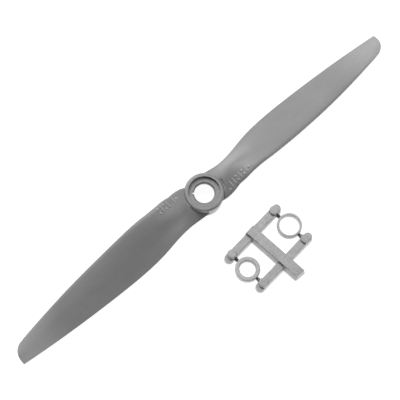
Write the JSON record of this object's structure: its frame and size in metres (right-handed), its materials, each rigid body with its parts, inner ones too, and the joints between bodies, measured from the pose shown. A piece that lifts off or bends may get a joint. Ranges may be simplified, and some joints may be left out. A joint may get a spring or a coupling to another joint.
{
  "type": "propeller",
  "caption": "Small fixed-pitch two-blade model propeller with a recessed hub, beside the moulded tree of its two shaft adapter rings.",
  "frame": {"origin": "middle of the shaft bore's wall, on the bore's axis", "axes": "+Z along the shaft out of the propeller's front face, +X along one blade"},
  "size_m": [0.1524, 0.0455, 0.0119],
  "materials": {
    "propeller_plastic": "satin grey glass-filled nylon",
    "ring_plastic": "satin grey glass-filled nylon",
    "tree_plastic": "satin grey glass-filled nylon"
  },
  "bodies": {
    "propeller": {"hub": "propeller_plastic", "blade_east": "propeller_plastic", "blade_west": "propeller_plastic"},
    "tree": {"main_runner": "tree_plastic", "arm_north": "tree_plastic", "post_north": "tree_plastic", "gate_north": "tree_plastic", "arm_east": "tree_plastic", "post_east": "tree_plastic", "gate_east": "tree_plastic", "arm_south": "tree_plastic", "post_south": "tree_plastic", "gate_south": "tree_plastic", "arm_west": "tree_plastic", "post_west": "tree_plastic", "gate_west": "tree_plastic"},
    "thin_adapter": {"thin_ring": "ring_plastic"},
    "thick_adapter": {"thick_ring": "ring_plastic"}
  },
  "joints": [
    {"name": "tree_lift", "type": "slide", "parent": "propeller", "child": "tree", "axis": [0, 0, 1], "range_m": [0, 0.02]},
    {"name": "thin_ring_lift", "type": "slide", "parent": "tree", "child": "thin_adapter", "axis": [0, 0, 1], "range_m": [0, 0.01]},
    {"name": "thick_ring_lift", "type": "slide", "parent": "tree", "child": "thick_adapter", "axis": [0, 0, 1], "range_m": [0, 0.01]}
  ]
}
